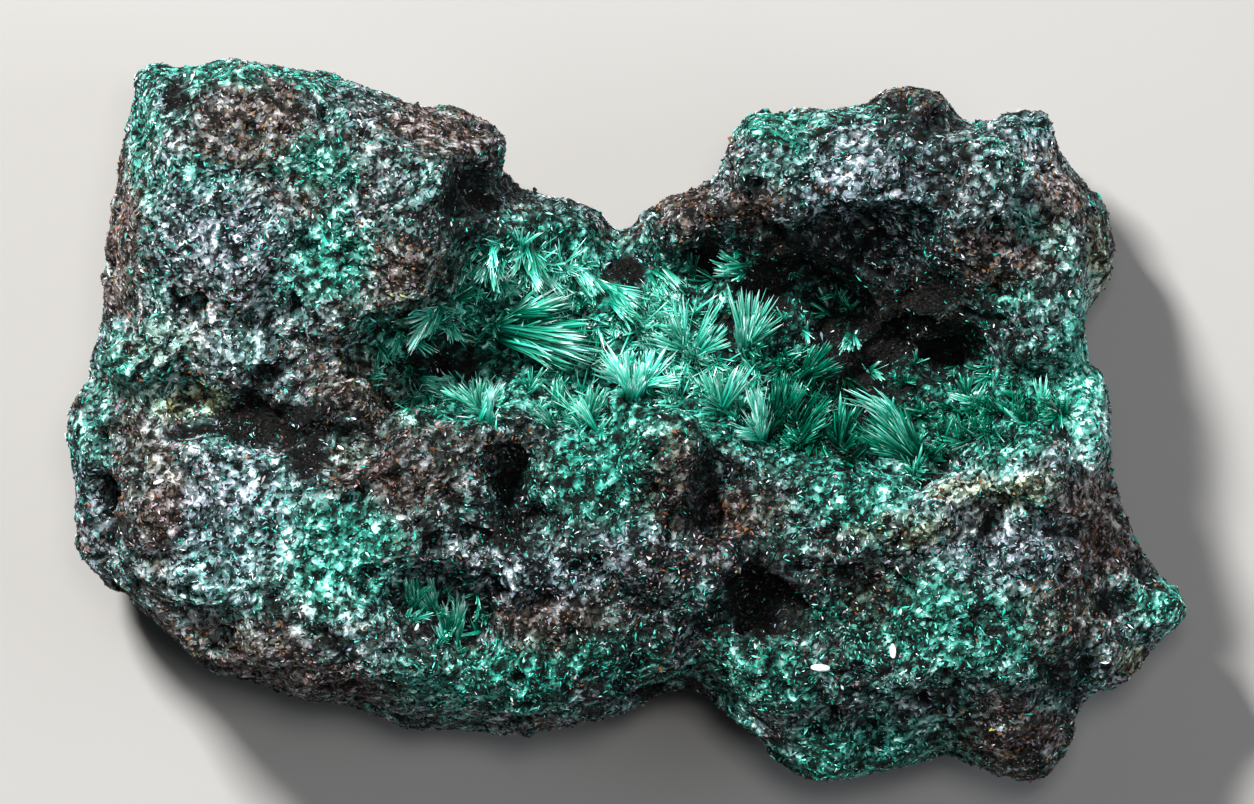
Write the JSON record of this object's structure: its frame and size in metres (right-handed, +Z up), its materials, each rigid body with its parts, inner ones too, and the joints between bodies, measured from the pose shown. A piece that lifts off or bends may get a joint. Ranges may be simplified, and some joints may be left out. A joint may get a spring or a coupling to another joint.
{
  "type": "brochantite mineral specimen",
  "caption": "Hand-sized lump of broken vein rock with an open vug lined by radiating sprays of needle crystals, lying on its rough back.",
  "frame": {"origin": "middle of the footprint, at the height of the surface that the specimen lies on", "axes": "+Z up, out of the crystal-bearing face; +X along the specimen's length; +Y towards the notched edge"},
  "size_m": [0.09, 0.058, 0.032],
  "materials": {
    "rock": "rough, grainy, crusted with fine green crystals",
    "crystal": "glassy emerald-green needles with pale tips"
  },
  "bodies": {
    "root": {"matrix": "rock", "vug_crystal_crust": "crystal", "pocket_crystal_crust": "crystal"}
  },
  "joints": []
}
